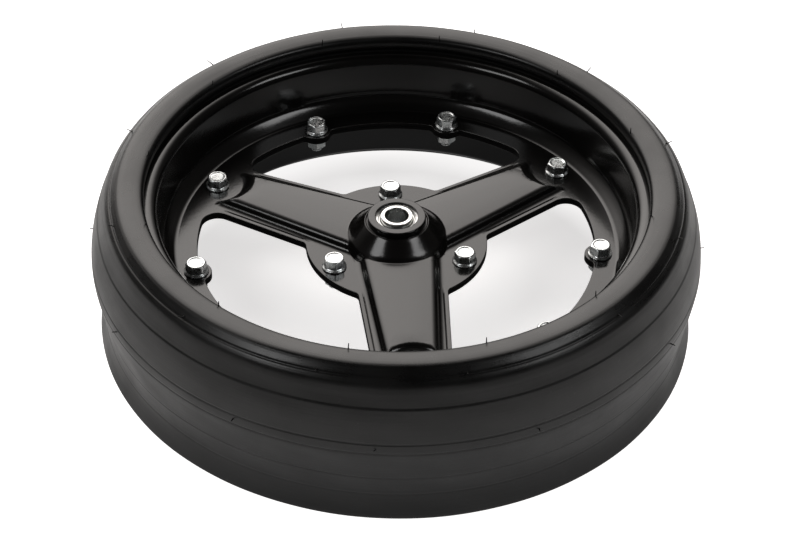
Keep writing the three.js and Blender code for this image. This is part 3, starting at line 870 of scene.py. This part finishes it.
def tyre_shape():
    outside = tyre_outside()
    inner = tyre_inside()[1:-1]
    along = np.gradient(outside, axis=0)
    normal = np.stack([-along[:, 1], along[:, 0]], axis=1)
    normal /= np.linalg.norm(normal, axis=1, keepdims=True)
    turns = np.arange(SEGMENTS) * FULL_TURN / SEGMENTS
    outward = np.sign(((outside - TYRE_MIDDLE) * normal).sum(axis=1, keepdims=True))
    normal = normal * np.where(outward == 0, 1, outward)
    r, z, turn = outside[:, :1], outside[:, 1:], turns[None, :]
    relief = tyre_relief(r, z, turn)
    r_out = r + normal[:, :1] * relief
    z_out = z + normal[:, 1:] * relief
    r_all = np.vstack([r_out, np.repeat(inner[:, :1], SEGMENTS, axis=1)])
    z_all = np.vstack([z_out, np.repeat(inner[:, 1:], SEGMENTS, axis=1)])
    points = np.stack([r_all * np.cos(turn), r_all * np.sin(turn), z_all], axis=-1).reshape(-1, 3)
    return points, grid_faces(len(r_all), SEGMENTS, close_rows=True)


def vent_nib(foot, tip):
    """A thin whisker of rubber that tapers from its foot to its tip."""
    foot, tip = np.array(foot), np.array(tip)
    along = (tip - foot) / np.linalg.norm(tip - foot)
    across = np.cross(along, [0.0, 0.3, 1.0] if abs(along[2]) < 0.9 else [1.0, 0.0, 0.0])
    across /= np.linalg.norm(across)
    other = np.cross(along, across)
    sides = 8
    angles = np.arange(sides) * FULL_TURN / sides
    rows = []
    for share, width in NIB_TAPER:
        centre = foot + (tip - foot) * share
        ring = np.cos(angles)[:, None] * across + np.sin(angles)[:, None] * other
        rows.append(centre + ring * NIB_RADIUS * width)
    points = np.vstack(rows)
    faces = grid_faces(len(rows), sides)
    faces.append(list(range(sides))[::-1])
    faces.append([(len(rows) - 1) * sides + i for i in range(sides)])
    return points, faces


def vent_nibs():
    """Rings of nibs: on the crest's inner edge, on the shoulder and on the crown."""
    chance = np.random.default_rng(7)
    nibs = []
    for radius, height, lean, first, size in NIB_RINGS:
        for i in range(NIBS_PER_RING):
            turn = math.radians(first + 360 / NIBS_PER_RING * i) + chance.normal(0, 0.03)
            length = NIB_LENGTH + chance.normal(0, 0.6)
            rise = 1 - abs(lean) * 0.75
            foot = np.array([*polar(radius, turn), height])
            step = np.array([*polar(length * lean, turn + chance.normal(0, 0.35)), length * rise])
            nibs.append(vent_nib(foot, foot + step * size))
    return nibs


piece("tyre_body", tyre_shape(), "wheel", RUBBER, ["tyre"])
piece("tyre_vent_nibs", joined(vent_nibs()), "wheel", RUBBER)


# ---- fasteners ----

FLANGE_RADIUS = 8.4
HEAD_HEIGHT = 8.0
NUT_HEIGHT = 7.5
SHANK_LENGTH = 14.0  # below the sheet's lower face
THREAD_PITCH = 1.41
THREAD_DEPTH = 0.42


def hex_radius(angles, across_flats):
    """Distance from the axis to a hexagon's outline."""
    local = np.mod(angles, math.pi / 3) - math.pi / 6
    return across_flats / 2 / np.cos(local)


def hex_angles():
    """Angles that hold every corner of a hexagon, with close neighbours so that its edges look crisp."""
    offsets = np.radians([-1.6, 0, 1.6, 6, 15, 30, 45, 54])
    return np.sort(np.concatenate([np.radians(60 * i) + offsets for i in range(6)]) % FULL_TURN)


def ring_rows(rows, angles):
    """Points of stacked rings. Each row is (radii, height)."""
    points = []
    for radii, height in rows:
        radii = np.broadcast_to(radii, len(angles))
        points.append(np.stack([radii * np.cos(angles), radii * np.sin(angles),
                                np.full(len(angles), height)], axis=1))
    return np.vstack(points)


def capped(rows, angles):
    """Stacked rings with a fan at each end."""
    points = ring_rows(rows, angles)
    count = len(angles)
    faces = grid_faces(len(rows), count)
    first = [0.0, 0.0, rows[0][1]]
    last = [0.0, 0.0, rows[-1][1]]
    points = np.vstack([points, first, last])
    base, bottom, top = (len(rows) - 1) * count, len(points) - 2, len(points) - 1
    for i in range(count):
        j = (i + 1) % count
        faces.append([bottom, j, i])
        faces.append([top, base + i, base + j])
    return points, faces


def hex_block(low, high):
    """Rows of a hexagon whose top edge is turned round by a 30 degree chamfer."""
    angles = hex_angles()
    corner = hex_radius(angles, HEX_ACROSS_FLATS)
    soft = np.minimum(corner, HEX_ACROSS_FLATS / 2 * 1.135)
    lean = math.tan(math.radians(30))
    rows = [(soft, low)]
    top_circle = HEX_ACROSS_FLATS / 2 * 0.93
    heights = high - np.linspace(1.15, 0.0, 9)
    for height in heights:
        limit = top_circle + (high - height) / lean
        rows.append((np.minimum(soft, limit), height))
    rows.append((np.full(len(angles), top_circle - 0.12), high + 0.05))
    return rows, angles


def bolt_head():
    """Flange, hexagon and slightly dished top, standing on z = 0."""
    rows, angles = hex_block(2.35, HEAD_HEIGHT)
    flange = [(BOLT_RADIUS, 0.0), (FLANGE_RADIUS - 0.25, 0.0), (FLANGE_RADIUS, 0.22), (FLANGE_RADIUS, 0.95),
              (FLANGE_RADIUS - 0.25, 1.2), (7.55, 1.55), (7.0, 2.0)]
    dish = [(5.3, 8.05), (5.05, 7.9), (4.6, 7.62), (3.9, 7.55), (1.5, 7.55)]
    return flange + rows + dish, angles


def thread_rows(low, high, radius, angles, inward=False):
    """Rings whose radii follow a helix, from low to high."""
    rows = []
    steps = max(2, int((high - low) / THREAD_PITCH * 8))
    for height in np.linspace(low, high, steps):
        phase = np.mod(height / THREAD_PITCH - angles / FULL_TURN, 1)
        ridge = 1 - np.abs(2 * phase - 1)
        fade = min(1, (height - low) / 0.8, (high - height) / 0.8)
        cut = THREAD_DEPTH * (1 - ridge) * fade
        rows.append((radius - cut, height))
    return rows


def flange_bolt():
    """A flange bolt whose head stands on z = 0 and whose shank points down."""
    head, angles = bolt_head()
    end = -(SHANK_LENGTH + PLATE_TOP)
    shank = [(3.0, end), (3.45, end + 0.15)]
    shank += thread_rows(end + 0.6, -1.2, BOLT_RADIUS, angles)
    shank += [(BOLT_RADIUS, -1.0)]
    return capped(shank + head, angles)


def flange_nut():
    """A flange nut hanging under z = 0: flange at the top, hexagon below, threaded through."""
    rows, angles = hex_block(2.2, NUT_HEIGHT)
    outside = [(FLANGE_RADIUS - 0.25, 0.0), (FLANGE_RADIUS, 0.22), (FLANGE_RADIUS, 0.9),
               (FLANGE_RADIUS - 0.25, 1.15), (7.5, 1.5), (6.95, 1.95)] + rows
    bore = [(4.6, 7.4), (4.2, 7.0)] + [(4.15, z) for z in np.linspace(6.5, 0.6, 5)] + [(4.6, 0.0)]
    points = ring_rows(outside + bore, angles)
    points[:, 2] *= -1
    return points, grid_faces(len(outside + bore), len(angles), close_rows=True)


def fastener_places():
    places = [(f"rim_{i + 1}", polar(RIM_BOLT_RADIUS, FIRST_SPOKE + FULL_TURN * i / RIM_BOLTS))
              for i in range(RIM_BOLTS)]
    places += [(f"hub_{i + 1}", polar(HUB_BOLT_RADIUS, FIRST_SPOKE + HALF_STEP + SPOKE_STEP * i))
               for i in range(SPOKES)]
    return places


def fasteners():
    """Bolts from above and nuts from below, each turned by chance as an assembler leaves it."""
    chance = np.random.default_rng(11)
    kinds = (("bolt", flange_bolt(), 1, WELD), ("nut", flange_nut(), -1, 0.0))
    for name, at in fastener_places():
        for kind, (points, faces), side, weld in kinds:
            turned = turned_round(points, chance.uniform(0, math.pi / 3))
            place = np.array([*at, side * (PLATE_TOP + BOLT_GAP)])
            piece(f"{name}_flange_{kind}", (turned + place, faces), "wheel", ZINC,
                  [f"{name}_{kind}"], weld)


fasteners()


# ---- bearings ----
# Heights are from the bearing's middle plane with the wheel's outside upwards.

INNER_SHOULDER = 10.9
OUTER_SHOULDER = 15.2
RACE_DEPTH = 3.14
INNER_RING_REACH = 2.9


def race(side):
    """The curved ball groove, from below to above. side is -1 on the inner ring and +1 on the outer one."""
    shoulder = INNER_SHOULDER if side < 0 else OUTER_SHOULDER
    reach = abs(shoulder - PITCH_RADIUS)
    edge = math.acos(reach / RACE_DEPTH)
    angles = np.linspace(-edge, edge, 11)
    return [(PITCH_RADIUS + side * RACE_DEPTH * math.cos(a), RACE_DEPTH * math.sin(a)) for a in angles]


def outer_ring():
    h = BEARING_HALF_WIDTH
    body = rounded([(OUTER_SHOULDER, -h), (17.5, -h), (17.5, h), (OUTER_SHOULDER, h)], 0.6)
    return revolved(np.vstack([body, race(1)[::-1]]), HUB_SEGMENTS)


def inner_ring():
    h = BEARING_HALF_WIDTH
    top = h + INNER_RING_REACH
    body = rounded([(INNER_SHOULDER, 3.2), (INNER_SHOULDER, top), (BORE_RADIUS, top), (BORE_RADIUS, -h),
                    (INNER_SHOULDER, -h), (INNER_SHOULDER, -3.2)], [0.01, 0.55, 0.95, 0.6, 0.5, 0.01])
    return revolved(np.vstack([body, race(-1)]), HUB_SEGMENTS)


def shield(side):
    """A thin pressed disc with a rolled bead near its bore and a folded outer edge."""
    face = [(11.15, 4.75), (11.5, 4.95), (12.0, 5.12), (12.5, 4.98), (12.8, 4.8), (13.6, 4.8), (14.2, 4.86),
            (14.6, 5.1), (14.95, 5.3)]
    face = flowing(face, 4)
    back = face[::-1] - np.array([0, 0.4])
    points, faces = revolved(np.vstack([face, back]), HUB_SEGMENTS)
    return points * np.array([1, 1, side]), faces


def ball():
    steps = 28
    turns = np.arange(steps) * FULL_TURN / steps
    lifts = np.linspace(-math.pi / 2, math.pi / 2, steps // 2 + 1)[1:-1]
    rows = [(BALL_RADIUS * math.cos(a), BALL_RADIUS * math.sin(a)) for a in lifts]
    return capped([(0.12, -BALL_RADIUS)] + rows + [(0.12, BALL_RADIUS)], turns)


def bearing(name, over):
    """over is True for the lower bearing, which is the upper one turned over."""
    shift = np.array([0, 0, BEARING_TOP - BEARING_HALF_WIDTH])

    def placed(shape):
        points = shape[0] + shift
        return (turned_over(points) if over else points), shape[1]

    parts = (("outer_ring", outer_ring(), "wheel", "bearing_steel", BEARING_STEEL),
             ("inner_ring", inner_ring(), "axle_core", "bearing_steel", BEARING_STEEL),
             ("outside_shield", shield(1), "wheel", "shield_steel", SHIELD_STEEL),
             ("inside_shield", shield(-1), "wheel", "shield_steel", SHIELD_STEEL))
    for part, shape, body, slot, material in parts:
        piece(f"{name}_{part}", placed(shape), body, material, [f"{name}_bearing_{part}"])
    ball_points, ball_faces = ball()
    for i in range(BALLS):
        at = np.array([*polar(PITCH_RADIUS, FULL_TURN * i / BALLS), 0])
        piece(f"{name}_ball_{i + 1}", placed((ball_points + at, ball_faces)), f"{name}_cage",
              BEARING_STEEL, [f"{name}_bearing_ball_{i + 1}"], weld=WELD)
    cage = frame["nodes"][f"{name}_bearing_cage"]
    cage.data.materials.clear()
    cage.data.materials.append(NYLON)


bearing("upper", False)
bearing("lower", True)

SLEEVE_RADIUS = 10.4

low, high = (corner.z / MM - MATING_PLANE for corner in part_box("spacer_sleeve"))
corners = [(BORE_RADIUS, low), (SLEEVE_RADIUS, low), (SLEEVE_RADIUS, high), (BORE_RADIUS, high)]
piece("inner_ring_spacer", revolved(rounded(corners, 0.5), 96), "axle_core", ZINC,
      ["spacer_sleeve"])


# ---- floor, light and camera ----

TARGET = Vector((-1.97, -50.57, 10.9 + MATING_PLANE)) * MM
DISTANCE = 1491.6 * MM
ELEVATION = math.radians(39.89)
AZIMUTH = math.radians(5.47)
ROLL = math.radians(0.943)
LENS = 100.5

# Painted light: the floor glows though it is no lamp, and its glow is lower inside the wheel as painted
# shade under it.
FLOOR_EDGE = (0.17, 0.21)  # the floor's glow changes between these distances (m) from the axle
FLOOR_PAINTED_GLOW_SEEN = (0.7, 1.1)  # glow inside and outside them, for the camera
FLOOR_PAINTED_GLOW_MIRRORED = (0.05, 0.4)  # and for everything else
FLOOR_TINT = (1, 0.985, 0.98, 1)
BACKDROP_MIDDLE = (-0.12, 0.76, 0.64)  # the way to the bright backdrop's middle
BACKDROP = ((0.0, 0.03), (0.55, 0.06), (0.7, 0.2), (0.8, 0.8), (0.9, 2.3), (1.0, 3.4))
BACKDROP_TINT = (1, 0.955, 0.92)
BACKDROP_TOP = (0.82, 0.93)  # it fades to BACKDROP_FAINT between these heights of a direction
BACKDROP_FAINT = 0.05
SOFTBOX_AT = (1.18, -0.63, 1.37)  # the right one (m); the left one mirrors it
SOFTBOX_SIZE = (0.7, 0.5)
SOFTBOX_POWER = 5


def camera():
    back = Vector((-math.cos(ELEVATION) * math.sin(AZIMUTH), -math.cos(ELEVATION) * math.cos(AZIMUTH),
                   math.sin(ELEVATION)))
    right = Vector((math.cos(AZIMUTH), -math.sin(AZIMUTH), 0))
    up = back.cross(right)
    x_axis = right * math.cos(ROLL) + up * math.sin(ROLL)
    y_axis = up * math.cos(ROLL) - right * math.sin(ROLL)
    data = bpy.data.cameras.new("camera")
    data.lens = LENS
    data.sensor_width = 36
    data.clip_start = 0.05
    data.clip_end = 50
    thing = bpy.data.objects.new("camera", data)
    thing.matrix_world = Matrix((x_axis, y_axis, back)).transposed().to_4x4()
    thing.location = TARGET + back * DISTANCE
    bpy.context.scene.collection.objects.link(thing)
    bpy.context.scene.camera = thing


def floor():
    """A pale floor with painted light: it glows a little though it is no lamp, and less so inside the
    wheel, as painted shade under it.
    """
    half = 6.0
    level = cad_box[0].z - 0.0004
    corners = [(-half, -half, level), (half, -half, level), (half, half, level), (-half, half, level)]
    mesh = bpy.data.meshes.new("floor")
    mesh.from_pydata(corners, [], [(0, 1, 2, 3)])
    n = Nodes("pale_floor_painted_glow")
    shade = n.colours(n.noise(3, detail=2), (0.3, (0.86, 0.86, 0.86)), (0.7, (0.88, 0.88, 0.88)))
    away = n.add("ShaderNodeVectorMath", operation="LENGTH")
    n.link(n.place, away.inputs[0])
    # Painted glow: brighter outside the wheel, dimmer inside it as painted shade under the wheel.
    seen = n.spread(away.outputs["Value"], *FLOOR_PAINTED_GLOW_SEEN, *FLOOR_EDGE)
    mirrored = n.spread(away.outputs["Value"], *FLOOR_PAINTED_GLOW_MIRRORED, *FLOOR_EDGE)
    camera_ray = n.add("ShaderNodeLightPath").outputs["Is Camera Ray"]
    n.link(n.math("MAXIMUM", n.math("MULTIPLY", seen, camera_ray), mirrored),
           n.shader.inputs["Emission Strength"])
    n.shader.inputs["Emission Color"].default_value = FLOOR_TINT
    mesh.materials.append(n.set(color=shade, rough=0.6, specular=0.1))
    thing = bpy.data.objects.new("floor", mesh)
    bpy.context.scene.collection.objects.link(thing)


def softbox(name, at):
    """A rectangular light that faces the middle of the wheel."""
    data = bpy.data.lights.new(name, "AREA")
    data.shape = "RECTANGLE"
    data.size, data.size_y = SOFTBOX_SIZE
    data.energy = SOFTBOX_POWER
    thing = bpy.data.objects.new(name, data)
    thing.location = at
    thing.rotation_mode = "QUATERNION"
    thing.rotation_quaternion = (-Vector(at)).to_track_quat("-Z", "Y")
    bpy.context.scene.collection.objects.link(thing)


def world():
    """White for the camera. Reflections see a bright backdrop beyond the wheel, and dark elsewhere."""
    setup = bpy.data.worlds.new("studio")
    setup.use_nodes = True
    tree = setup.node_tree
    tree.nodes.clear()
    add = tree.nodes.new
    link = tree.links.new
    place = add("ShaderNodeTexCoord").outputs["Generated"]
    beyond = add("ShaderNodeVectorMath")
    beyond.operation = "DOT_PRODUCT"
    link(place, beyond.inputs[0])
    beyond.inputs[1].default_value = BACKDROP_MIDDLE
    ramp = add("ShaderNodeValToRGB")
    link(beyond.outputs["Value"], ramp.inputs["Fac"])
    elements = ramp.color_ramp.elements
    while len(elements) < len(BACKDROP):
        elements.new(0.5)
    for element, (position, level) in zip(elements, BACKDROP):
        element.position = position
        element.color = (*(level * tint for tint in BACKDROP_TINT), 1)
    shade = add("ShaderNodeBackground")
    link(ramp.outputs["Color"], shade.inputs["Color"])
    height = add("ShaderNodeSeparateXYZ")
    link(place, height.inputs[0])
    fade = add("ShaderNodeMapRange")
    fade.interpolation_type = "SMOOTHSTEP"
    link(height.outputs["Z"], fade.inputs["Value"])
    limits = (*BACKDROP_TOP, 1.0, BACKDROP_FAINT)
    for name, value in zip(("From Min", "From Max", "To Min", "To Max"), limits):
        fade.inputs[name].default_value = value
    link(fade.outputs["Result"], shade.inputs["Strength"])
    pale = add("ShaderNodeBackground")
    pale.inputs["Color"].default_value = (1, 1, 1, 1)
    path = add("ShaderNodeLightPath")
    mix = add("ShaderNodeMixShader")
    link(path.outputs["Is Camera Ray"], mix.inputs["Fac"])
    link(shade.outputs[0], mix.inputs[1])
    link(pale.outputs[0], mix.inputs[2])
    link(mix.outputs[0], add("ShaderNodeOutputWorld").inputs["Surface"])
    bpy.context.scene.world = setup


camera()
floor()
world()
softbox("left_softbox", (-SOFTBOX_AT[0], *SOFTBOX_AT[1:]))
softbox("right_softbox", SOFTBOX_AT)
bpy.context.scene.view_settings.view_transform = "Standard"
